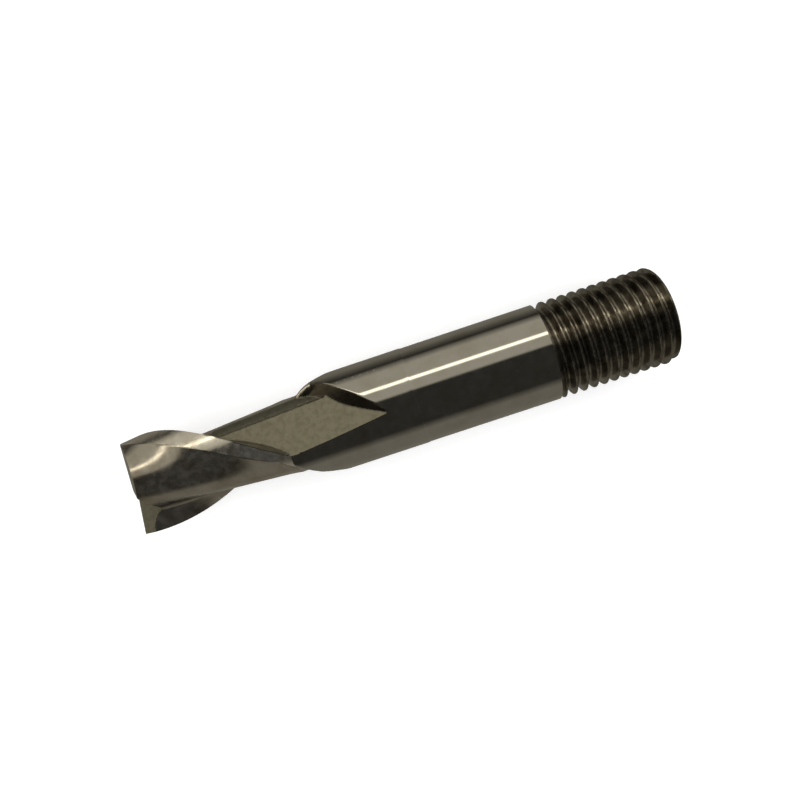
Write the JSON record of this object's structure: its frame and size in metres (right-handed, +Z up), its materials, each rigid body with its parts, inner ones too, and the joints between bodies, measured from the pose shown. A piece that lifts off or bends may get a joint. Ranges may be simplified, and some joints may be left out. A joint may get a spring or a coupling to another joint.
{
  "type": "end mill",
  "caption": "Two-flute centre-cutting slot drill with a right-hand helix and a threaded plain shank.",
  "frame": {"origin": "on the surface the tool lies on, under the middle of its length", "axes": "+X along the tool's axis from the cutting end toward the threaded rear end, +Z up"},
  "size_m": [0.0675, 0.012, 0.012],
  "materials": {
    "cutter_steel": "ground high-speed steel, bright on the flutes and lands, satin in the run-out",
    "shank_steel": "ground and lightly polished alloy steel, darker in the thread"
  },
  "bodies": {
    "root": {"cutter_head": "cutter_steel", "threaded_shank": "shank_steel"}
  },
  "joints": []
}
